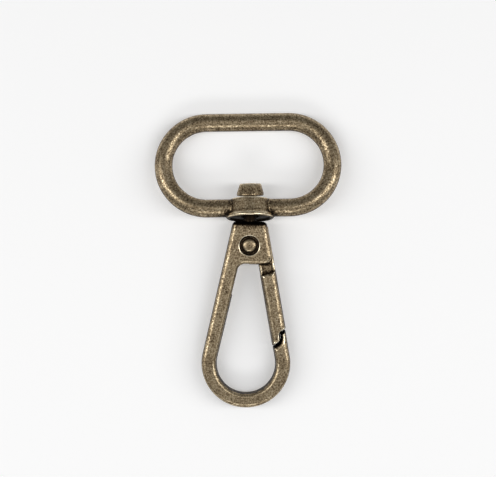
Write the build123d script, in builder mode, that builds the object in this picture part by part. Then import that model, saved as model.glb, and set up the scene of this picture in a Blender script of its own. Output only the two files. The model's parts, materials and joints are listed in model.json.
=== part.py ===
from build123d import *
import os
from math import asin, cos, degrees, radians, sin, tan

# Swivel snap hook: a webbing ring with a cast boss, and a hook with a sprung gate that swivels in it.
# Millimetres. The hook lies on a flat surface, at Z = 0. +Y runs from the bend of the hook to the ring,
# +X is to the gate's side, +Z is up. The origin is below the middle of the whole object.

os.makedirs("parts", exist_ok=True)

# ---- clearances ----
running = 0.05           # radial, a pin or tenon in its hole
seat = 0.04              # between two faces that rest on each other
side_play = 0.10         # each side of the gate's tongue in the clevis slot

# ---- webbing ring ----
bar_d = 4.5              # round bar
ring_inner_w = 38.1      # the webbing's width
ring_inner_h = 17.5
boss_shift = 0.35        # the boss stands this far off the ring's middle
boss_top = 2.25          # the boss's length on the ring's side of the lower bar's axis
boss_bottom = 2.7        # and on the hook's side
boss_top_r = 4.9
boss_r = 5.2
boss_lip_r = 5.95
boss_lip = 0.9           # height of the lip
boss_round = 0.35        # rounding of the boss's rims
dish_r = 5.25            # hollow in the boss's underside
dish_depth = 0.5
dish_draft = 0.15
bore_break = 0.25        # broken edge at both ends of the bore

# ---- swivel ----
shank_r = 1.65
tenon_r = 1.25
tenon_flare = 0.35       # the peened end spreads by this much
cap_r = 3.45             # the cone-shaped cap, at its seat
cap_top_r = 2.65
cap_h = 3.05
cap_break = 0.3
rock_limit = 12.6        # the most that the loose shank leans in the bore, in degrees
neck = 3.4               # from the lower bar's axis to the top of the hook's head
root = 0.6               # the shank starts this far inside the head

# ---- hook casting, measured from the pivot rivet's axis ----
thick = 4.8
head_top = 5.9
head_w = 8.4
bow_r = 11.2             # outside of the bend
eye_r = 7.35             # inside of the bend
bow_drop = 29.9          # from the rivet down to the bend's centre
bow_shift = -0.35        # the bend's centre is a little to the left of the rivet
throat_y = -4.9
throat_w = 4.7
throat_round = 1.5
cheek_round = 2.3
head_round = 0.9
rim_round = 0.65         # rounding along the edges of both faces

# ---- clevis slot ----
slot_w = 2.4
slot_top_wall = 1.05
slot_side_wall = 1.35
groove_end = -12.6       # the slot runs down the arm's inner face to here

# ---- gate ----
gate_out = 0.12          # the gate's outer face stands this far out of the hook's outline
gate_gap = 0.6           # open gap between the gate and the nose
out_across = 10.75       # the open gap's middle, from the bend's centre: at the outer face,
out_up = 9.45
upper_across = 8.4       # at the two corners of the step,
upper_up = 8.05
lower_across = 8.65
lower_up = 5.8
in_across = 5.35         # and at the eye
in_up = 3.6
step_round = 0.6
hub_r = 3.5
shoulder_y = -7.0        # where the gate becomes as thick as the hook
shoulder_lean = 20       # degrees
tongue_dish = 0.35       # hollow in the face of the tongue
tongue_lip = 0.55        # raised lips beside it
swing_limit = 26         # the gate's opening, in degrees

# ---- pivot rivet ----
rivet_r = 1.25
rivet_head_r = 1.75
well_r = 2.47            # counterbore for the rivet's head
well_depth = 0.6
head_dome = 0.25

# ---- torsion spring on the rivet ----
wire_d = 0.35
coil_r = 1.75            # to the wire's centre
coil_pitch = 0.40
coil_turns = 2
body_leg = 11.5
gate_leg = 6.2
arm_lean = 12.0          # the two legs' directions, in degrees off the hook's axis
gate_lean = 11.0
pocket_gap = 0.3         # room around the coil

# ---- how it lies ----
ring_yaw = 0.8           # degrees, seen from above
hook_yaw = -1.0
settling = 20            # passes that find how the ring lies

# ---- for cutting ----
beyond = 45.0            # past every face of the hook
hairline = 0.01          # a line, as a thin rectangle


# The ring's far bar and the boss rest on the surface, and so does the hook's bend.
bar_r = bar_d / 2
turn_r = ring_inner_h / 2 + bar_r
reach = 2 * turn_r
ring_tilt = 0.0
boss_z = boss_lip_r
for _ in range(settling):
    lean = radians(ring_tilt)
    boss_z = boss_lip_r * cos(lean) - (boss_bottom - boss_lip + boss_round / 2) * sin(lean)
    ring_tilt = degrees(asin((boss_z - bar_r) / reach))
bend_reach = neck + head_top + bow_drop + bow_r - rim_round
hook_tilt = degrees(asin((boss_z - thick / 2) / bend_reach))
hook_tilt = degrees(asin((boss_z - thick / 2 * cos(radians(hook_tilt))) / bend_reach))

ring_far = (reach * cos(radians(ring_tilt)) + bar_r) * cos(radians(ring_yaw))
hook_far = (bend_reach + rim_round) * cos(radians(hook_tilt))
boss_y = (hook_far - ring_far) / 2
boss_x = boss_shift + reach / 2 * sin(radians(ring_yaw))
swivel_point = Vector(boss_x, boss_y, boss_z)

ring_plane = Plane(swivel_point, x_dir=(cos(radians(ring_yaw)), sin(radians(ring_yaw)), 0),
                   z_dir=Vector(0, sin(radians(ring_tilt)), cos(radians(ring_tilt)))
                   .rotate(Axis.Z, ring_yaw))
stud_plane = Plane(swivel_point, x_dir=(cos(radians(hook_yaw)), sin(radians(hook_yaw)), 0),
                   z_dir=Vector(0, -sin(radians(hook_tilt)), cos(radians(hook_tilt)))
                   .rotate(Axis.Z, hook_yaw))
hook_plane = Plane(stud_plane.from_local_coords((0, -neck - head_top, 0)),
                   x_dir=stud_plane.x_dir, z_dir=stud_plane.z_dir)
up_hook = Axis(hook_plane.origin, hook_plane.z_dir)
stud_axis = Axis(stud_plane.origin, stud_plane.y_dir)
bore_axis = Axis(ring_plane.origin, ring_plane.y_dir)


def leans_clear(near, r):
    """How far from the swivel point a flat face of radius r must be, to lean over a face that is near."""
    return (near + seat + r * sin(radians(rock_limit))) / cos(radians(rock_limit))


bore_r = shank_r / cos(radians(rock_limit)) + boss_bottom * tan(radians(rock_limit)) + seat
cap_seat = leans_clear(boss_top, cap_r - cap_break)
slot_top = head_top - slot_top_wall
# the legs leave the coil tangentially, one along each side of the teardrop
body_leg_at = 180 - arm_lean
gate_leg_at = gate_lean
coil_start = -slot_w / 2 + side_play + wire_d / 2 + seat
wound = coil_turns + (body_leg_at - gate_leg_at) / 360
pocket_floor = coil_start + coil_pitch * wound + wire_d

# ---- ring: stadium of round bar, with the boss on its lower bar ----
half_run = ring_inner_w / 2 - ring_inner_h / 2
left_x = -half_run - boss_shift
right_x = half_run - boss_shift
with BuildPart() as swivel_ring:
    with BuildLine(ring_plane) as track:
        Line((left_x, 0), (right_x, 0))
        ThreePointArc((right_x, 0), (right_x + turn_r, turn_r), (right_x, reach))
        Line((right_x, reach), (left_x, reach))
        ThreePointArc((left_x, reach), (left_x - turn_r, turn_r), (left_x, 0))
    with BuildSketch(Plane(track.line @ 0, z_dir=track.line % 0)):
        Circle(bar_r)
    sweep()
    with BuildSketch(ring_plane) as boss_section:
        with BuildLine():
            Polyline((0, -boss_bottom), (boss_lip_r, -boss_bottom), (boss_lip_r, -boss_bottom + boss_lip),
                     (boss_r, -boss_bottom + 2 * boss_lip), (boss_top_r, boss_top), (0, boss_top), close=True)
        make_face()
        fillet([v for v in boss_section.vertices() if v.X > 1], boss_round)
    revolve(axis=bore_axis)
    with BuildSketch(ring_plane) as bore_section:
        with BuildLine():
            Polyline((0, -boss_bottom - 1), (dish_r, -boss_bottom - 1), (dish_r, -boss_bottom),
                     (dish_r - dish_draft, -boss_bottom + dish_depth),
                     (bore_r + bore_break, -boss_bottom + dish_depth),
                     (bore_r, -boss_bottom + dish_depth + bore_break), (bore_r, boss_top - bore_break),
                     (bore_r + bore_break, boss_top), (bore_r + bore_break, boss_top + 1),
                     (0, boss_top + 1), close=True)
        make_face()
    revolve(axis=bore_axis, mode=Mode.SUBTRACT)
swivel_ring.part.label = "swivel_ring"

# ---- hook casting: a band between two hulls, open at the gate ----
bend_centre = (bow_shift, -bow_drop)
step_out = (bow_shift + out_across, out_up - bow_drop)
step_upper = (bow_shift + upper_across, upper_up - bow_drop)
step_lower = (bow_shift + lower_across, lower_up - bow_drop)
step_in = (bow_shift + in_across, in_up - bow_drop)
with BuildSketch(hook_plane) as eye:
    with Locations(bend_centre):
        Circle(eye_r)
    with Locations((0, throat_y)):
        Rectangle(throat_w, hairline, align=(Align.CENTER, Align.MAX))
    make_hull()
with BuildSketch(hook_plane) as teardrop:
    with Locations(bend_centre):
        Circle(bow_r)
    with Locations((0, head_top)):
        Rectangle(head_w, hairline, align=(Align.CENTER, Align.MAX))
    make_hull()
with BuildSketch(hook_plane) as open_step:
    with BuildLine() as step_line:
        FilletPolyline(step_out, step_upper, step_lower, step_in, radius=step_round)
    trace(line_width=gate_gap)


def bay(top_left, top_right):
    """The face above the open step, up to a line between two points."""
    with BuildSketch(hook_plane, mode=Mode.PRIVATE) as region:
        with BuildLine():
            FilletPolyline(step_out, step_upper, step_lower, step_in, radius=step_round)
            Polyline(step_in, (top_left[0], step_in[1]), top_left, top_right, (top_right[0], step_out[1]), step_out)
        make_face()
    return region.sketch_local


with BuildSketch(hook_plane) as hook_outline:
    add(teardrop.sketch_local)
    add(eye.sketch_local, mode=Mode.SUBTRACT)
    add(bay((0, throat_y), (beyond, throat_y)), mode=Mode.SUBTRACT)
    add(open_step.sketch_local, mode=Mode.SUBTRACT)
    fillet(hook_outline.vertices().sort_by_distance((-throat_w / 2, throat_y))[0], throat_round)
    fillet(hook_outline.vertices().sort_by_distance((bow_r / 2, throat_y))[0], cheek_round)
    fillet(hook_outline.vertices().group_by(Axis.Y)[-1], head_round)


def rim_edges(part, outline):
    """The edges of a flat casting's two faces that run along an outline."""
    rim = outline.sketch.wire()
    return [e for e in part.edges() if abs(hook_plane.to_local_coords(e @ 0.5).Z) > thick / 2 - hairline
            and rim.distance_to(e @ 0.5) < thick / 2 + hairline]


with BuildPart() as hook_body:
    with BuildSketch(hook_plane):
        add(hook_outline.sketch_local)
    extrude(amount=thick / 2, both=True)
    fillet(rim_edges(hook_body, teardrop), rim_round)
    # the clevis slot and the groove for the spring's leg
    with BuildSketch(hook_plane):
        add(teardrop.sketch_local)
        offset(amount=-slot_side_wall)
        with Locations((0, slot_top)):
            Rectangle(beyond, slot_top - groove_end, align=(Align.CENTER, Align.MAX), mode=Mode.INTERSECT)
        with Locations((0, slot_top)):
            Rectangle(beyond, slot_top - throat_y + 1, align=(Align.MIN, Align.MAX))
    extrude(amount=slot_w / 2, both=True, mode=Mode.SUBTRACT)
    # the rivet's hole and a well for each of its heads
    with BuildSketch(hook_plane):
        Circle(rivet_r)
    extrude(amount=thick, both=True, mode=Mode.SUBTRACT)
    for side in (1, -1):
        with BuildSketch(hook_plane.offset(side * (thick / 2 - well_depth))):
            Circle(well_r)
        extrude(amount=side * thick, mode=Mode.SUBTRACT)
    # the swivel's shank, with a tenon for the cap
    with BuildSketch(stud_plane):
        with BuildLine():
            Polyline((0, -neck - root), (shank_r, -neck - root), (shank_r, cap_seat - seat),
                     (tenon_r, cap_seat - seat), (tenon_r, cap_seat + cap_h - tenon_flare),
                     (tenon_r + tenon_flare, cap_seat + cap_h), (0, cap_seat + cap_h), close=True)
        make_face()
    revolve(axis=stud_axis)
hook_body.part.label = "hook_body"

# ---- cap: a cone, seated on the boss and peened onto the tenon ----
with BuildPart() as swivel_cap:
    with BuildSketch(stud_plane):
        with BuildLine():
            Polyline((tenon_r + running, cap_seat), (cap_r - cap_break, cap_seat), (cap_r, cap_seat + cap_break),
                     (cap_top_r, cap_seat + cap_h), (tenon_r + tenon_flare + 2 * running, cap_seat + cap_h),
                     (tenon_r + running, cap_seat + cap_h - tenon_flare - running), close=True)
        make_face()
    revolve(axis=stud_axis)
swivel_cap.part.label = "swivel_cap"

# ---- gate: a bar with a thin tongue that turns between the cheeks ----
with BuildSketch(hook_plane) as gate_outline:
    add(teardrop.sketch_local)
    offset(amount=gate_out)
    add(eye.sketch_local, mode=Mode.SUBTRACT)
    add(bay((0, slot_top - side_play), (beyond, slot_top - side_play)), mode=Mode.INTERSECT)
    add(open_step.sketch_local, mode=Mode.SUBTRACT)
with BuildPart() as gate:
    with BuildSketch(hook_plane):
        add(gate_outline.sketch_local)
    extrude(amount=thick / 2, both=True)
    with BuildSketch(hook_plane):
        with Locations(Location((throat_w, shoulder_y), shoulder_lean)):
            Rectangle(beyond, beyond, align=(Align.CENTER, Align.MIN))
    extrude(amount=thick, both=True, mode=Mode.SUBTRACT)
    fillet(rim_edges(gate, teardrop) + rim_edges(gate, eye), rim_round)
    with BuildSketch(hook_plane):
        add(gate_outline.sketch_local)
        with Locations((0, shoulder_y - thick)):
            Rectangle(beyond, beyond, align=(Align.CENTER, Align.MIN), mode=Mode.INTERSECT)
        Circle(hub_r)
    extrude(amount=slot_w / 2 - side_play, both=True)
    with BuildSketch(hook_plane):
        Circle(rivet_r + running)
    extrude(amount=thick, both=True, mode=Mode.SUBTRACT)
    # a shallow hollow in both faces of the tongue, between two lips
    for side in (1, -1):
        with BuildSketch(hook_plane.offset(side * (slot_w / 2 - side_play - tongue_dish))):
            add(gate_outline.sketch_local)
            offset(amount=-tongue_lip)
            with Locations((0, throat_y + tongue_lip)):
                Rectangle(beyond, beyond, align=(Align.CENTER, Align.MAX), mode=Mode.INTERSECT)
            with Locations(Location((throat_w, shoulder_y), shoulder_lean)):
                Rectangle(beyond, beyond, align=(Align.CENTER, Align.MAX), mode=Mode.SUBTRACT)
        extrude(amount=side * tongue_dish, mode=Mode.SUBTRACT)
    # the spring's pocket, open to the back, with a channel for the leg that pushes the gate
    with BuildSketch(hook_plane.offset(pocket_floor)):
        Circle(coil_r + wire_d / 2 + pocket_gap)
        with Locations(Rotation(0, 0, gate_leg_at) * Pos(coil_r, 0)):
            Rectangle(wire_d + 2 * seat, gate_leg + wire_d, align=(Align.CENTER, Align.MAX))
    extrude(amount=-slot_w, mode=Mode.SUBTRACT)
    # and a notch in the hub's rim that swings past the other leg
    with BuildSketch(hook_plane.offset(coil_start + wire_d / 2 + pocket_gap / 2)):
        for turn in (0, swing_limit + 1):
            with Locations(Rotation(0, 0, body_leg_at + turn) * Pos(coil_r, 0)):
                Rectangle(wire_d + pocket_gap, beyond, align=(Align.CENTER, Align.MIN))
        make_hull()
    extrude(amount=-slot_w, mode=Mode.SUBTRACT)
gate.part.label = "gate"

# ---- pivot rivet: a head in each well ----
head_under = thick / 2 - well_depth
head_over = thick / 2 - seat
rivet_plane = Plane(hook_plane.origin, x_dir=hook_plane.x_dir, z_dir=-hook_plane.y_dir)
with BuildPart() as pivot_rivet:
    with BuildSketch(rivet_plane):
        with BuildLine():
            for side in (1, -1):
                ThreePointArc((0, side * head_over), (rivet_head_r / 2, side * (head_over - head_dome / 4)),
                              (rivet_head_r, side * (head_over - head_dome)))
                Polyline((rivet_head_r, side * (head_over - head_dome)), (rivet_head_r, side * head_under),
                         (rivet_r, side * head_under), (rivet_r, 0))
            Line((0, -head_over), (0, head_over))
        make_face()
    revolve(axis=up_hook)
pivot_rivet.part.label = "pivot_rivet"

# ---- torsion spring: a coil round the rivet, one leg along the arm and one in the gate ----
coil_plane = Plane(hook_plane.from_local_coords((0, 0, coil_start)),
                   x_dir=hook_plane.x_dir.rotate(up_hook, body_leg_at), z_dir=hook_plane.z_dir)
coil = coil_plane * Helix(coil_pitch, coil_pitch * wound, coil_r, lefthand=True)
arm_way = hook_plane.x_dir.rotate(up_hook, body_leg_at + 90)
gate_way = hook_plane.x_dir.rotate(up_hook, gate_leg_at - 90)
spring_wire = Wire.combine([Line(coil @ 0 + arm_way * body_leg, coil @ 0), coil,
                            Line(coil @ 1, coil @ 1 + gate_way * gate_leg)])[0]
with BuildPart() as torsion_spring:
    with BuildSketch(Plane(spring_wire @ 0, z_dir=spring_wire % 0)):
        Circle(wire_d / 2)
    sweep(path=spring_wire)
torsion_spring.part.label = "torsion_spring"

for piece in (swivel_ring, swivel_cap, hook_body, gate, pivot_rivet, torsion_spring):
    export_step(piece.part, f"parts/{piece.part.label}.step")

for name, place, way in (("swivel_rock", swivel_point, ring_plane.x_dir),
                         ("hook_swivel", swivel_point, stud_plane.y_dir),
                         ("gate_pivot", hook_plane.origin, -hook_plane.z_dir)):
    print(name, [round(v, 6) for v in place], [round(v, 9) for v in way])
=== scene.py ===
import json
import bpy
import numpy as np
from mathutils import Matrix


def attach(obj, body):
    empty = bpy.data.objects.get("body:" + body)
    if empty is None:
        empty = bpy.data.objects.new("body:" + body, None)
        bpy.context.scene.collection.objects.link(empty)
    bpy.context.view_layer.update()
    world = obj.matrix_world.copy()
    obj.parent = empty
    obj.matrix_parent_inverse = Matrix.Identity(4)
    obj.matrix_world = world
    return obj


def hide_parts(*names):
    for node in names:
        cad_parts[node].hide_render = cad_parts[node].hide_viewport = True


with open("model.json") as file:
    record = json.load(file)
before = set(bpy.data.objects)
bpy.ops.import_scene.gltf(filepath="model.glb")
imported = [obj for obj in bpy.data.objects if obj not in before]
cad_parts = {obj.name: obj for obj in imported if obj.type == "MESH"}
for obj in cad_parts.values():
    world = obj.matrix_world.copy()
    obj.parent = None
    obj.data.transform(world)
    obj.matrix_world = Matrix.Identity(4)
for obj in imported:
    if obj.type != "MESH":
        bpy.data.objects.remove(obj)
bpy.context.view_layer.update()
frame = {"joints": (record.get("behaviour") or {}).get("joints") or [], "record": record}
joints = {joint["name"]: joint for joint in frame["joints"]}

# ---- Webbing ring ----------------------------------------------------------------------------------------
# One zinc die casting, plated and antiqued: an oval of round bar with a bored boss round the middle of its
# lower bar. Its metal is a signed distance in millimetres from the middle of the boss, X along the lower bar
# and Y to the far bar. The mould leaves it slightly uneven, and use wears its edges bright.

bar_r, turn_r, half_run, ring_shift = 2.25, 11.0, 10.3, -0.35
boss_top, boss_bottom, boss_r, boss_draft = 2.25, 2.7, 5.12, 0.09
foot_r, foot_at, foot_flare, boss_rim = 5.75, -0.9, 1.1, 0.45
bore_r, bore_rim, dish_r, dish_depth, dish_rim = 2.33, 0.25, 5.1, 0.5, 0.1
bar_fillet = 0.35
head_sweep_r, head_sweep_top = 5.5, -3.2
# The last two numbers set how dark the walls are painted as shade, and how steeply patina and painted shade
# darken the hollows.
ring_grid, ring_grain, ring_wall_shade, ring_patina_shade_power = 0.19, 0.018, 0.45, 2.2
ring_low, ring_high = (-24.4, -3.2, -6.3), (24.0, 24.8, 6.3)

# How the skin of a casting is read: the step for its curvature, the curvature where wear starts and how much
# more makes it full, how far it looks for metal in front of it with each distance's share, for the patina and
# painted shade in hollows, how flat a spot faces up before it is no wall and gets no painted wall shade, and
# the lengths of the mould's two ripples with the short one's share.
bend_step, wear_start, wear_span = 0.22, 0.7, 2.2
shade_shares = ((0.5, 0.35), (1.2, 0.35), (3.0, 0.3))
wall_end, long_ripple, short_ripple, short_share = 0.6, 2.6, 0.9, 0.45
net_slabs, net_slides, least_slope = 16, 3, 0.25


def round_cut(a, b, r):
    """What is inside both a and b, with the corner between them rounded to radius r."""
    return np.minimum(np.maximum(a, b), -r) + np.hypot(np.maximum(a + r, 0), np.maximum(b + r, 0))


def round_join(a, b, r):
    """What is inside a or b, with the corner between them filled to radius r."""
    return np.maximum(np.minimum(a, b), r) - np.hypot(np.maximum(r - a, 0), np.maximum(r - b, 0))


def ease(t):
    """0 below t = 0 and 1 above t = 1, with 3t^2 - 2t^3 between."""
    t = np.clip(t, 0, 1)
    return t * t * (3 - 2 * t)


def ripple(p, size, seed):
    """An uneven skin: the mean of nine plane sine waves about size long, in seeded directions and phases."""
    rng = np.random.default_rng(seed)
    ways = rng.normal(size=(9, 3))
    ways *= (2 * np.pi / size * rng.uniform(0.7, 1.4, 9) / np.linalg.norm(ways, axis=1))[:, None]
    return np.sin(p @ ways.T + rng.uniform(0, 2 * np.pi, 9)).mean(-1)


def slope(field, p, h=0.02):
    """The field's gradient, from its values h to each side along X, Y and Z."""
    return np.stack([(field(p + h * way) - field(p - h * way)) / (2 * h) for way in np.eye(3)], -1)


def surface_net(field, low, high, step):
    """The zero level of a signed distance sampled on a grid. Each cell that it crosses has one vertex, at
    the mean of the crossings on the cell's edges, slid along the slope onto the level. Each grid edge that
    it crosses has one quad, through the four cells around that edge, facing out of the metal."""
    low = np.array(low, float)
    count = np.ceil((np.array(high) - low) / step).astype(int) + 1
    lines = [(low[i] + step * np.arange(count[i])).astype(np.float32) for i in range(3)]
    value = np.concatenate([field(np.stack(np.meshgrid(part, *lines[1:], indexing="ij"), -1))
                            for part in np.array_split(lines[0], net_slabs)])
    inside = value < 0
    corner = np.array([(i, j, k) for i in (0, 1) for j in (0, 1) for k in (0, 1)])
    filled = sum(inside[i:count[0] - 1 + i, j:count[1] - 1 + j, k:count[2] - 1 + k].astype(np.int8)
                 for i, j, k in corner)
    cells = np.argwhere((filled > 0) & (filled < 8))
    at = value[tuple(np.moveaxis(cells[:, None] + corner, -1, 0))].astype(float)
    total, hits = np.zeros((len(cells), 3)), np.zeros(len(cells))
    for a, b in np.argwhere(np.abs(corner[:, None] - corner).sum(-1) == 1):
        cross = (at[:, a] < 0) & (at[:, b] >= 0)
        share = np.where(cross, at[:, a] / np.where(cross, at[:, a] - at[:, b], 1), 0)
        total += cross[:, None] * (corner[a] + share[:, None] * (corner[b] - corner[a]))
        hits += cross
    points = low + step * (cells + total / hits[:, None])
    for _ in range(net_slides):
        way = slope(field, points)
        move = way * (field(points) / np.maximum((way * way).sum(1), least_slope))[:, None]
        points -= move * np.minimum(1, 0.5 * step / np.maximum(np.linalg.norm(move, axis=1), 1e-9))[:, None]
    number = np.full(filled.shape, -1)
    number[tuple(cells.T)] = np.arange(len(cells))
    quads = []
    for a in range(3):
        b, c = np.eye(3, dtype=int)[[(a + 1) % 3, (a + 2) % 3]]
        near, far = (inside[tuple(slice(s, n - 1 + s) if i == a else slice(1, n - 1)
                                  for i, n in enumerate(count))] for s in (0, 1))
        for outward in (1, -1):
            edge = np.argwhere((near & ~far) if outward == 1 else (far & ~near)) + b + c
            around = [edge - b - c, edge - c, edge, edge - b][::outward]
            quads.append(np.stack([number[tuple(cell.T)] for cell in around], 1))
    return points, np.concatenate(quads)


def piece(name, body, points, faces, place, wear, recess):
    """A smooth mesh from points in a piece's own millimetres. place is its origin in metres and its three
    axes as rows. wear and recess, from 0 to 1 at each point, ride on the mesh for the plating; recess is
    patina and painted shade."""
    origin, axes = place
    mesh = bpy.data.meshes.new(name)
    mesh.from_pydata((origin + 0.001 * points @ axes).tolist(), [], faces)
    for key, value in (("wear", wear), ("recess", recess)):
        mesh.attributes.new(key, "FLOAT", "POINT").data.foreach_set("value", value.astype(np.float32))
    mesh.polygons.foreach_set("use_smooth", np.ones(len(mesh.polygons), bool))
    mesh.update()
    made = bpy.data.objects.new(name, mesh)
    bpy.context.collection.objects.link(made)
    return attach(made, body)


def casting(name, body, field, near, low, high, step, place, grain, sides, patina_shade_power):
    """A cast piece from its signed distance. wear is how sharply the metal turns outwards, from the sum of
    the field's second derivatives. recess is patina and painted shade: one less the free share of the space
    in front of the skin, to a given power, where the piece and what is near it take space away, so that
    hollows and spots crowded by nearby parts are painted dark. It is at least sides on the walls, as painted
    shade. The skin is then moved along its normal by its ripples."""
    points, quads = surface_net(field, low, high, step)
    normal = slope(field, points)
    normal /= np.maximum(np.linalg.norm(normal, axis=1), 1e-9)[:, None]
    h = bend_step
    around = sum(field(points + s * h * way) for way in np.eye(3) for s in (1, -1))
    bend = (around - 6 * field(points)) / h ** 2
    # Patina and painted shade: darker where the piece itself or nearby parts fill the space in front of the
    # skin.
    free = sum(share * np.clip(np.minimum(field(points + normal * d), near(points + normal * d)) / d, 0, 1)
               for d, share in shade_shares)
    # Painted shade on the walls, darker the more sideways they face.
    wall = sides * (1 - ease(np.abs(normal[:, 2]) / wall_end))
    uneven = ripple(points, long_ripple, 3) + short_share * ripple(points, short_ripple, 4)
    points += normal * (grain * uneven)[:, None]
    return piece(name, body, points, quads.tolist(), place, ease((bend - wear_start) / wear_span),
                 1 - free ** patina_shade_power * (1 - wall))


swivel = np.array(joints["swivel_rock"]["pos_m"])
ring_x = np.array(joints["swivel_rock"]["axis"])
bar_middle = next(m for m in frame["record"]["mounts"] if m["name"] == "webbing_bar")["pos_m"]
ring_y = (np.array(bar_middle) - swivel) / np.linalg.norm(np.array(bar_middle) - swivel)
ring_place = (swivel, np.array([ring_x, ring_y, np.cross(ring_x, ring_y)]))


def ring_metal(p):
    """A tube round an oval line, joined to a turned boss whose foot flares, less the bore and the hollow
    in the foot. The bore ends inside the oval, so that it stays out of the far bar."""
    x, y, z = p[..., 0], p[..., 1], p[..., 2]
    across = np.hypot(np.maximum(np.abs(x - ring_shift) - half_run, 0), y - turn_r) - turn_r
    bar = np.hypot(across, z) - bar_r
    out = np.hypot(x, z)
    swell = boss_r - boss_draft * y + (foot_r - boss_r) * ease((foot_at - y) / foot_flare)
    boss = round_cut(out - swell, np.maximum(y - boss_top, -boss_bottom - y), boss_rim)
    dish = np.maximum(out - dish_r, y + boss_bottom - dish_depth)
    bore = np.maximum(out - bore_r, y - turn_r / 2)
    return round_cut(round_cut(round_join(bar, boss, bar_fillet), -dish, dish_rim), -bore, bore_rim)


def turning_head(p):
    """The round that the hook's head sweeps below the boss as it swivels, and that shades the hollow."""
    return np.maximum(np.hypot(p[..., 0], p[..., 2]) - head_sweep_r, p[..., 1] - head_sweep_top)


# The ring's hollows, its walls and the hollow under the boss, where the hook's head turns, get painted shade.
ring = casting("swivel_ring_cast", "ring", ring_metal, turning_head, ring_low, ring_high, ring_grid,
               ring_place, ring_grain, ring_wall_shade, ring_patina_shade_power)
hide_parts("swivel_ring")


def add_node(tree, kind, inputs=(), **settings):
    """A shader node with its settings, and its inputs as numbers, colours or other nodes' outputs."""
    made = tree.nodes.new("ShaderNode" + kind)
    for key, value in settings.items():
        setattr(made, key, value)
    for key, value in dict(inputs).items():
        if isinstance(value, bpy.types.NodeSocket):
            tree.links.new(value, made.inputs[key])
        else:
            made.inputs[key].default_value = value
    return made


def calc(tree, kind, *values):
    """The output of a Math node of that kind, fed with numbers or with other nodes' outputs."""
    return add_node(tree, "Math", enumerate(values), operation=kind).outputs[0]


# The plating's tone runs from black, where patina and painted shade darken hollows and walls, through brown,
# to bright brass where it is rubbed. Broad clouds and fine grains make it uneven, less so where it is worn.
cloud_share, grain_share, worn_calm = 0.55, 1.9, 0.7
rub_gain, patina_shade_gain = 0.62, 0.8
antique = bpy.data.node_groups.new("antique_plating", "ShaderNodeTree")
for name, start in (("Wear", 0.0), ("Recess", 0.0), ("Tone", 0.45), ("Mottle", 0.5)):
    antique.interface.new_socket(name, in_out="INPUT", socket_type="NodeSocketFloat").default_value = start
antique.interface.new_socket("Color", in_out="OUTPUT", socket_type="NodeSocketColor")
antique.interface.new_socket("Roughness", in_out="OUTPUT", socket_type="NodeSocketFloat")
antique.interface.new_socket("Height", in_out="OUTPUT", socket_type="NodeSocketFloat")
given = antique.nodes.new("NodeGroupInput").outputs
where = add_node(antique, "TexCoord").outputs["Object"]
clouds = add_node(antique, "TexNoise", {"Vector": where, "Scale": 330.0, "Detail": 4.0, "Roughness": 0.6,
                                        "Distortion": 0.4}).outputs["Fac"]
grains = add_node(antique, "TexNoise", {"Vector": where, "Scale": 2500.0, "Detail": 2.0,
                                        "Roughness": 0.7}).outputs["Fac"]
mottle = calc(antique, "ADD", calc(antique, "MULTIPLY", calc(antique, "SUBTRACT", clouds, 0.5), cloud_share),
              calc(antique, "MULTIPLY", calc(antique, "SUBTRACT", grains, 0.5), grain_share))
calm = calc(antique, "SUBTRACT", 1.0, calc(antique, "MULTIPLY", given["Wear"], worn_calm))
mottle = calc(antique, "MULTIPLY", mottle, calm)
rubbed = calc(antique, "MULTIPLY", given["Wear"], calc(antique, "SUBTRACT", rub_gain, given["Recess"]))
rubbed = calc(antique, "MAXIMUM", rubbed, 0.0)
tone = calc(antique, "ADD", given["Tone"], calc(antique, "MULTIPLY", mottle, given["Mottle"]))
tone = calc(antique, "ADD", tone, rubbed)
# Patina and painted shade darken the tone; the ramp's black end is painted shade.
tone = calc(antique, "SUBTRACT", tone, calc(antique, "MULTIPLY", given["Recess"], patina_shade_gain))
ramp = add_node(antique, "ValToRGB", {"Fac": tone})
ramp.color_ramp.elements[0].color = (0.012, 0.008, 0.005, 1)
ramp.color_ramp.elements[1].color = (0.90, 0.80, 0.60, 1)
for stop, colour in ((0.22, (0.07, 0.048, 0.028, 1)), (0.45, (0.25, 0.185, 0.11, 1)),
                     (0.72, (0.56, 0.45, 0.29, 1))):
    ramp.color_ramp.elements.new(stop).color = colour
rough = add_node(antique, "MapRange", {"Value": tone, "From Min": 0.1, "From Max": 0.95,
                                       "To Min": 0.5, "To Max": 0.28})
result = antique.nodes.new("NodeGroupOutput")
antique.links.new(ramp.outputs["Color"], result.inputs["Color"])
antique.links.new(rough.outputs["Result"], result.inputs["Roughness"])
antique.links.new(mottle, result.inputs["Height"])


def plating(name, tone, mottle):
    """A metal finish in antique plating of that tone and mottle, rubbed and darkened by the mesh's wear and
    recess."""
    made = bpy.data.materials.new(name)
    made.use_nodes = True
    tree = made.node_tree
    plate = add_node(tree, "Group", node_tree=antique)
    plate.inputs["Tone"].default_value = tone
    plate.inputs["Mottle"].default_value = mottle
    for key in ("Wear", "Recess"):
        mark = add_node(tree, "Attribute", attribute_name=key.lower()).outputs["Fac"]
        tree.links.new(mark, plate.inputs[key])
    shader = tree.nodes["Principled BSDF"]
    shader.inputs["Metallic"].default_value = 1.0
    bump = add_node(tree, "Bump", {"Height": plate.outputs["Height"], "Strength": 0.2, "Distance": 0.00004})
    tree.links.new(plate.outputs["Color"], shader.inputs["Base Color"])
    tree.links.new(plate.outputs["Roughness"], shader.inputs["Roughness"])
    tree.links.new(bump.outputs["Normal"], shader.inputs["Normal"])
    return made


cast_brass = plating("cast_antique_brass", 0.515, 0.85)
ring.data.materials.append(cast_brass)

# ---- Swivel cap ------------------------------------------------------------------------------------------
# A turned cone in the same plating, seated over the boss and held by the shank's end, which is peened over
# it. It is a closed profile turned round the shank, with the peened end as a low button in a shallow ring.

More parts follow.
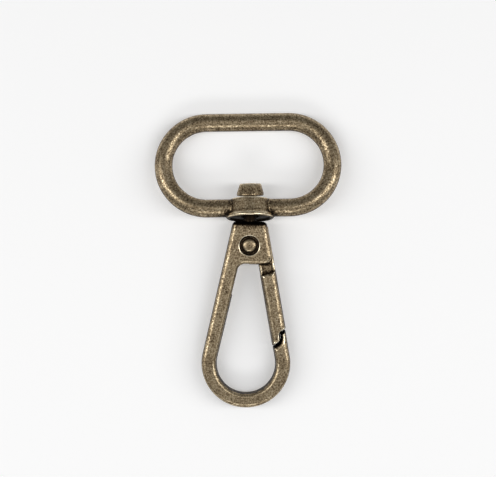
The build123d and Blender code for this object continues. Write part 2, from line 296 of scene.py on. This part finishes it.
cap_seat, cap_h, cap_r, cap_top_r, axis_r = 3.09, 3.05, 3.45, 2.65, 0.02
stud_y = np.array(joints["hook_swivel"]["axis"])
stud_place = (swivel, np.array([ring_x, stud_y, np.cross(ring_x, stud_y)]))


def rounded(corners, steps=6):
    """A closed profile with eased corners. A corner is radius, height, trim, wear and recess, which is patina
    and painted shade. Its arc is the quadratic curve between the points that lie trim before and after it,
    drawn towards it. Wear fades along the straight runs between corners, as the cube of the distance from
    their middles."""
    corners = np.array(corners, float)
    spot, trim, marks = corners[:, :2], corners[:, 2:3], corners[:, 3:]
    back, ahead = np.roll(spot, 1, 0) - spot, np.roll(spot, -1, 0) - spot
    a = spot + back / np.linalg.norm(back, axis=1)[:, None] * trim
    b = spot + ahead / np.linalg.norm(ahead, axis=1)[:, None] * trim
    t = np.linspace(0, 1, steps)[:, None, None]
    arcs = (1 - t) ** 2 * a + 2 * t * (1 - t) * spot + t * t * b
    arcs = np.concatenate([arcs, np.broadcast_to(marks, arcs.shape)], -1)
    runs = arcs[-1] + t[1:-1] * (np.roll(arcs[0], -1, 0) - arcs[-1])
    runs[..., 2] *= np.abs(1 - 2 * t[1:-1, :, 0]) ** 3
    return np.concatenate([arcs, runs]).transpose(1, 0, 2).reshape(-1, 4)


def turned(name, body, profile, place, axis, sides=96):
    """A closed profile carried round an axis of the place in even steps, with its radius times the cosine
    and the sine along the other two. It runs clockwise round its own middle, with height up and radius to
    the right, so that the faces point outwards."""
    radius, height, wear, recess = (np.tile(column, sides) for column in profile.T)
    turn = np.repeat(np.arange(sides) * 2 * np.pi / sides, len(profile))
    across, beyond = radius * np.cos(turn), radius * np.sin(turn)
    points = np.stack([beyond, height, across] if axis == 1 else [across, beyond, height], -1)
    i, j = (g.ravel() for g in np.meshgrid(np.arange(sides), np.arange(len(profile)), indexing="ij"))
    here, there = i * len(profile), (i + 1) % sides * len(profile)
    after = (j + 1) % len(profile)
    faces = np.stack([here + j, here + after, there + after, there + j], -1).tolist()
    return piece(name, body, points, faces, place, wear, recess)


top = cap_seat + cap_h
# The last number at each corner is patina and painted shade: most under the seat and in the shallow ring
# round the button, and half at the foot where the cap sits on the boss, as painted shade.
cap = turned("swivel_cap_turned", "cap", rounded([
    (axis_r, cap_seat, 0.01, 0, 1), (axis_r, top + 0.12, 0.01, 0.2, 0), (1.35, top + 0.1, 0.25, 0.5, 0),
    (1.62, top - 0.14, 0.08, 0, 0.8), (1.88, top, 0.08, 0.3, 0.1), (cap_top_r, top, 0.2, 0.45, 0),
    (cap_r, cap_seat + 0.42, 0.3, 0.1, 0.15), (cap_r - 0.15, cap_seat, 0.18, 0.2, 0.5)]), stud_place, 1)
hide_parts("swivel_cap")
cap.data.materials.append(cast_brass)

# ---- Hook ------------------------------------------------------------------------------------------------
# One zinc casting in the same plating: a flat teardrop band, open on the gate's side, with a slotted head and
# a round shank that turns in the boss. Its sides taper from the parting line to both faces. X is to the
# gate's side and Y along the shank, in millimetres from the middle of the pivot rivet.

thick, face_round, bend_round = 4.8, 0.7, 0.3
head_top, head_half, head_round = 5.9, 4.2, 0.9
bow_r, eye_r, bow_x, bow_y = 11.2, 7.35, -0.35, -29.9
throat_y, throat_half, throat_round, cheek_round, cheek_end = -4.9, 2.35, 1.2, 2.3, -10
draft, eye_draft, seam_h, seam_w = 0.07, 0.17, 0.03, 0.15
slot_half, slot_top, slot_wall, slot_foot, groove_end = 1.2, 4.85, 1.35, -5.9, -12.6
step_line = np.array([(10.4, -20.45), (8.05, -21.85), (8.3, -24.1), (5.0, -26.3)])
half_gap, gap_draft, tip_round, nook_round = 0.05, 0.1, 0.3, 0.8
step_near_x, step_near_y, step_rim, step_reach, rim_blend = 4, -15, 0.3, 0.8, 1.2
slot_root, slot_mouth, well_root, well_mouth, shank_fillet = 0.25, 0.14, 0.2, 0.16, 0.35
neck, shank_r = 3.4, 1.65
shank_top, shank_root = head_top + neck + cap_seat - 0.03, slot_top + 0.4
shank_middle, shank_half = (shank_top + shank_root) / 2, (shank_top - shank_root) / 2
boss_low = head_top + neck - boss_bottom + 0.3
well_r, well_depth, pin_r, rivet_head_r, head_shade = 2.47, 0.6, 1.25, 1.75, 2.3
# The last two numbers set how dark the walls are painted as shade, and how steeply patina and painted shade
# darken the hollows.
hook_grid, hook_grain, hook_wall_shade, hook_patina_shade_power = 0.17, 0.014, 0.7, 2.2
hook_low, hook_high = (-12.1, -41.6, -2.75), (11.3, 13.0, 2.75)

pivot = np.array(joints["gate_pivot"]["pos_m"])
hook_z = -np.array(joints["gate_pivot"]["axis"])
hook_place = (pivot, np.array([np.cross(stud_y, hook_z), stud_y, hook_z]))


def teardrop(x, y, r, half, top, corner):
    """The distance to a circle with a straight top edge above it, and the circle's tangents to that edge's
    ends. Below its tangent point each side is the circle, and above it the line."""
    x, y = x - bow_x, y - bow_y
    sides = []
    for way in (1, -1):
        end_x, end_y = way * half - bow_x, top - bow_y
        lean = np.arctan2(end_y, way * end_x) - np.arccos(r / np.hypot(end_x, end_y))
        line = way * x * np.cos(lean) + y * np.sin(lean) - r
        along = y * np.cos(lean) - way * x * np.sin(lean)
        sides.append(np.where(along > 0, line, np.hypot(x, y) - r))
    return round_cut(np.maximum(*sides), y - (top - bow_y), corner)


def step_side(x, y, z, nose):
    """The metal on one side of the S-shaped step between the gate and the nose. Both stand half a gap off
    it, and further off towards the faces. The nose is below the first line and to the right of the second,
    or below the third, and the gate is the rest."""
    clear = half_gap + gap_draft * np.abs(z)
    over = []
    for start, end in zip(step_line[:-1], step_line[1:]):
        way = (end - start) / np.linalg.norm(end - start)
        over.append((x - start[0]) * way[1] - (y - start[1]) * way[0])
    if nose:
        corner = round_cut(over[0] + clear, over[1] + clear, tip_round)
        return round_join(corner, over[2] + clear, nook_round)
    return round_cut(round_join(clear - over[0], clear - over[1], nook_round), clear - over[2], tip_round)


def rim_round(x, y, rim, inner, step):
    """The rounding where a wall meets a face: most along the outline, less along the eye, least at the
    step, with eased changes between."""
    most = face_round + bend_round * ease((rim - inner) / rim_blend + 0.5)
    near_step = (x > step_near_x) & (y < step_near_y)
    return most * np.where(near_step, step_rim + (1 - step_rim) * ease(-step / step_reach), 1)


def hook_metal(p):
    """The teardrop less its eye and the gate's bay, cut to thickness with rounded rims, less the slot, the
    spring's groove, the two wells and the pin's hole, plus the shank."""
    x, y, z = p[..., 0], p[..., 1], p[..., 2]
    taper, eye_taper = draft * np.abs(z), eye_draft * np.abs(z)
    rim = teardrop(x, y, bow_r, head_half, head_top, head_round)
    slot = np.minimum(np.maximum(rim + slot_wall, groove_end - y), np.maximum(-x, slot_foot - y))
    rim = rim + taper - seam_h * np.exp(-(z / seam_w) ** 2)
    step = step_side(x, y, z, True)
    bay = np.maximum(np.maximum(-x, y - throat_y), -step)
    inner = eye_taper - np.minimum(teardrop(x, y, eye_r, throat_half, throat_y, throat_round), bay)
    band = round_cut(rim, inner, np.where(y > cheek_end, cheek_round, tip_round))
    metal = round_cut(band, np.abs(z) - thick / 2, rim_round(x, y, rim, inner, step))
    slot = round_cut(np.maximum(slot, y - slot_top), np.abs(z) - slot_half, slot_root)
    metal = round_cut(metal, -slot, slot_mouth)
    out = np.hypot(x, y)
    well = round_cut(out - well_r, thick / 2 - well_depth - np.abs(z), well_root)
    metal = round_cut(metal, -well, well_mouth)
    metal = np.maximum(metal, pin_r - out)
    shank = np.maximum(np.hypot(x, z) - shank_r, np.abs(y - shank_middle) - shank_half)
    return round_join(metal, shank, shank_fillet)


# ---- Gate ------------------------------------------------------------------------------------------------
# A zinc casting in the same plating: a bar as thick as the hook, with a stepped end that meets the nose, and
# a thin tongue, hollowed between two lips, that turns on the rivet between the cheeks of the hook's head. The
# tongue's back has a pocket for the spring, a channel for its pushing leg and a notch that clears the other.

gate_out, tongue_half, hub_r = 0.12, 1.1, 3.5
shoulder_x, shoulder_y, shoulder_lean = 4.7, -7.0, np.radians(20)
tongue_dish, tongue_lip, side_play = 0.35, 0.55, 0.1
pocket_r, pocket_floor, notch_floor = 2.225, 0.44, -0.53
coil_r, gate_leg, channel_half, notch_half, pin_play = 1.75, 6.55, 0.22, 0.33, 0.05
# The last number sets how steeply patina and painted shade darken the gate's hollows.
shoulder_rim, tongue_rim, hollow_rim, tongue_fillet, gate_patina_shade_power = 0.3, 0.15, 0.12, 0.2, 1.1
gate_low, gate_high = (-3.8, -27.0, -2.75), (12.0, 5.2, 2.75)
gate_leg_at, body_leg_at, swing = np.radians(11), np.radians(168), np.radians(27)


def gate_metal(p):
    """The part of the teardrop above the step, full thickness below the shoulder and thin above it, with a
    round hub, less the hollows, the rivet's hole, and the spring's pocket, channel and notch."""
    x, y, z = p[..., 0], p[..., 1], p[..., 2]
    taper, eye_taper = draft * np.abs(z), eye_draft * np.abs(z)
    rim = teardrop(x, y, bow_r, head_half, head_top, head_round) - gate_out + taper
    rim = rim - seam_h * np.exp(-(z / seam_w) ** 2)
    inner = eye_taper - teardrop(x, y, eye_r, throat_half, throat_y, 0.0)
    step = step_side(x, y, z, False)
    band = round_cut(round_cut(rim, inner, tip_round), step, tip_round)
    shoulder = (y - shoulder_y) * np.cos(shoulder_lean) - (x - shoulder_x) * np.sin(shoulder_lean)
    bar = round_cut(np.maximum(band, -x), shoulder, shoulder_rim)
    bar = round_cut(bar, np.abs(z) - thick / 2, rim_round(x, y, rim, inner, step))
    strap = np.maximum(np.maximum(band, -x), y - slot_top + side_play)
    out = np.hypot(x, y)
    tongue = round_cut(np.minimum(strap, out - hub_r), np.abs(z) - tongue_half, tongue_rim)
    hollow = np.maximum(band + tongue_lip, y - throat_y - tongue_lip)
    hollow = np.maximum(hollow, tongue_half - tongue_dish - np.abs(z))
    metal = round_join(round_cut(tongue, -hollow, hollow_rim), bar, tongue_fillet)
    along = y * np.cos(gate_leg_at) - x * np.sin(gate_leg_at)
    off = x * np.cos(gate_leg_at) + y * np.sin(gate_leg_at)
    channel = np.maximum(np.abs(off - coil_r) - channel_half, np.maximum(along, -gate_leg - along))
    pocket = np.maximum(np.minimum(out - pocket_r, channel), z - pocket_floor)
    shut, swung = (x * np.cos(a) + y * np.sin(a) for a in (body_leg_at, body_leg_at + swing))
    notch = np.maximum(shut - coil_r - notch_half, coil_r - notch_half - swung)
    notch = np.maximum(np.maximum(notch, x), np.maximum(y, z - notch_floor))
    return np.maximum(np.maximum(metal, -np.minimum(pocket, notch)), pin_r + pin_play - out)


def beside_hook(p):
    """What shades the hook: the gate, the rivet's two heads, and the boss round the shank."""
    heads = np.maximum(np.hypot(p[..., 0], p[..., 1]) - rivet_head_r, np.abs(p[..., 2]) - head_shade)
    boss = np.maximum(bore_r - np.hypot(p[..., 0], p[..., 2]), boss_low - p[..., 1])
    return np.minimum(np.minimum(gate_metal(p), heads), boss)


# The hook's walls, its hollows and the spots crowded by the gate, the rivet's heads and the boss get painted
# shade.
hook = casting("hook_cast", "hook", hook_metal, beside_hook, hook_low, hook_high, hook_grid, hook_place,
               hook_grain, hook_wall_shade, hook_patina_shade_power)
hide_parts("hook_body")
hook.data.materials.append(cast_brass)
# The gate's walls, its hollows and the spots crowded by the hook get painted shade.
gate = casting("gate_cast", "gate", gate_metal, hook_metal, gate_low, gate_high, hook_grid, hook_place,
               hook_grain, hook_wall_shade, gate_patina_shade_power)
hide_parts("gate")
gate.data.materials.append(cast_brass)

# ---- Pivot rivet -----------------------------------------------------------------------------------------
# A brass rivet through both cheeks and the gate's hub, turned and then closed by spinning, which leaves each
# end slightly domed with a small pit in the middle. It is one profile turned round the hinge.

head_over, head_under = 2.36, 1.8
# The last number at each corner is patina and painted shade: in the pit, towards each head's rim where it
# sits in its well, and full on the hidden underside and shank.
half = [(axis_r, head_over - 0.1, 0.01, 0, 0.9), (0.3, head_over, 0.12, 0.3, 0.2),
        (rivet_head_r - 0.4, head_over - 0.12, 0.35, 0.1, 0), (rivet_head_r, head_over - 0.5, 0.2, 0.05, 0.4),
        (rivet_head_r, head_under, 0.02, 0, 1), (pin_r, head_under, 0.02, 0, 1)]
other = [(r, -h, *marks) for r, h, *marks in half[::-1]]
rivet = turned("pivot_rivet_turned", "hook", rounded(half + other), hook_place, 2, 64)
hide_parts("pivot_rivet")
rivet_brass = plating("rivet_brass_worn", 0.55, 0.45)
rivet.data.materials.append(rivet_brass)

# ---- Torsion spring --------------------------------------------------------------------------------------
# Nearly two and a half turns of dark oiled steel wire round the rivet, in the pocket of the gate's hub. The
# coil and the leg in the arm's groove stay with the hook, and the leg that pushes the gate swings with it.

wire_r, wire_sides, coil_start, coil_pitch, coil_turns = 0.175, 12, -0.885, 0.40, 2.436
arm_leg, push_leg, coil_points, arm_skip, push_skip = 11.5, 6.2, 160, 8, 16


def wire(name, body, path):
    """A round wire along a path: each point has a ring of points at the wire's radius, in the plane of two
    directions square to the path, the first of them also square to the hinge."""
    path = np.array(path)
    way = np.gradient(path, axis=0)
    way /= np.linalg.norm(way, axis=1)[:, None]
    side = np.cross(way, (0, 0, 1.0))
    side /= np.linalg.norm(side, axis=1)[:, None]
    turn = np.arange(wire_sides)[:, None, None] * 2 * np.pi / wire_sides
    rings = path + wire_r * (np.cos(turn) * side + np.sin(turn) * np.cross(side, way))
    points = rings.transpose(1, 0, 2).reshape(-1, 3)
    i, j = (g.ravel() for g in np.meshgrid(np.arange(len(path) - 1), np.arange(wire_sides), indexing="ij"))
    here, after = i * wire_sides + j, i * wire_sides + (j + 1) % wire_sides
    skin = np.stack([here, here + wire_sides, after + wire_sides, after], -1).tolist()
    start, end = list(range(wire_sides)), list(range(len(points) - wire_sides, len(points)))
    none = np.zeros(len(points))
    made = piece(name, body, points, skin + [start, end[::-1]], hook_place, none, none)
    return made


t = np.linspace(0, 1, coil_points)[:, None]
angle = body_leg_at - 2 * np.pi * coil_turns * t
coil = np.hstack([coil_r * np.cos(angle), coil_r * np.sin(angle), coil_start + coil_pitch * coil_turns * t])
arm_way = np.array([-np.sin(body_leg_at), np.cos(body_leg_at), 0])
push_way = np.array([np.sin(gate_leg_at), -np.cos(gate_leg_at), 0])
arm_path = coil[0] + arm_way * arm_leg * t[:0:-arm_skip]
spring = wire("torsion_spring_coil", "hook", np.vstack([arm_path, coil]))
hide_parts("torsion_spring")
push = wire("torsion_spring_leg", "gate", coil[-1] + push_way * push_leg * t[::push_skip])

oiled = bpy.data.materials.new("oiled_spring_wire")
oiled.use_nodes = True
shader = oiled.node_tree.nodes["Principled BSDF"]
shader.inputs["Metallic"].default_value = 1.0
spot = add_node(oiled.node_tree, "TexCoord").outputs["Object"]
drawn = add_node(oiled.node_tree, "TexNoise", {"Vector": spot, "Scale": 3000.0, "Detail": 3.0}).outputs["Fac"]
tint = add_node(oiled.node_tree, "ValToRGB", {"Fac": drawn})
tint.color_ramp.elements[0].color = (0.10, 0.10, 0.10, 1)
tint.color_ramp.elements[1].color = (0.34, 0.33, 0.31, 1)
sheen = add_node(oiled.node_tree, "MapRange", {"Value": drawn, "To Min": 0.28, "To Max": 0.45})
oiled.node_tree.links.new(tint.outputs["Color"], shader.inputs["Base Color"])
oiled.node_tree.links.new(sheen.outputs["Result"], shader.inputs["Roughness"])
spring.data.materials.append(oiled)
push.data.materials.append(oiled)

# ---- Surface, light and camera ---------------------------------------------------------------------------
# The hook lies on a plain pale sheet. Two long soft boxes stand to its left and right, a weaker one beyond
# the bend of the hook, and the camera looks straight down.

middle = (0.0, 0.0055)
camera_height, lens, sheet_half = 0.40, 114.0, 6
sheet = bpy.data.meshes.new("pale_sheet")
corners = [(-sheet_half, -sheet_half, 0), (sheet_half, -sheet_half, 0), (sheet_half, sheet_half, 0),
           (-sheet_half, sheet_half, 0)]
sheet.from_pydata(corners, [], [(0, 1, 2, 3)])
floor = bpy.data.objects.new("pale_sheet", sheet)
bpy.context.collection.objects.link(floor)
paper = bpy.data.materials.new("pale_paper")
paper.use_nodes = True
matt = paper.node_tree.nodes["Principled BSDF"].inputs
matt["Base Color"].default_value = (0.90, 0.90, 0.90, 1)
matt["Roughness"].default_value = 0.8
matt["Emission Color"].default_value = (1, 1, 1, 1)
matt["Emission Strength"].default_value = 0.2
sheet.materials.append(paper)

for name, place, size, power in (("left_softbox", (-0.40, 0.02, 0.48), (0.13, 0.62), 1.5),
                                 ("right_softbox", (0.40, 0.02, 0.48), (0.13, 0.62), 1.5),
                                 ("near_softbox", (0.0, -0.50, 0.42), (0.45, 0.16), 0.8)):
    lamp = bpy.data.lights.new(name, "AREA")
    lamp.shape = "RECTANGLE"
    lamp.size, lamp.size_y = size
    lamp.energy = power
    stand = bpy.data.objects.new(name, lamp)
    stand.location = place
    stand.rotation_euler = (np.arctan2(np.hypot(place[0], place[1]), place[2]), 0,
                            np.arctan2(place[0], -place[1]))
    bpy.context.collection.objects.link(stand)

studio = bpy.data.worlds.new("studio")
studio.use_nodes = True
studio.node_tree.nodes["Background"].inputs["Color"].default_value = (1.0, 1.0, 1.0, 1)
studio.node_tree.nodes["Background"].inputs["Strength"].default_value = 0.2
bpy.context.scene.world = studio
bpy.context.scene.view_settings.view_transform = "Standard"

view = bpy.data.objects.new("camera", bpy.data.cameras.new("camera"))
view.data.lens = lens
view.data.sensor_width = 36.0
view.data.clip_start = 0.01
view.location = (*middle, camera_height)
bpy.context.collection.objects.link(view)
bpy.context.scene.camera = view
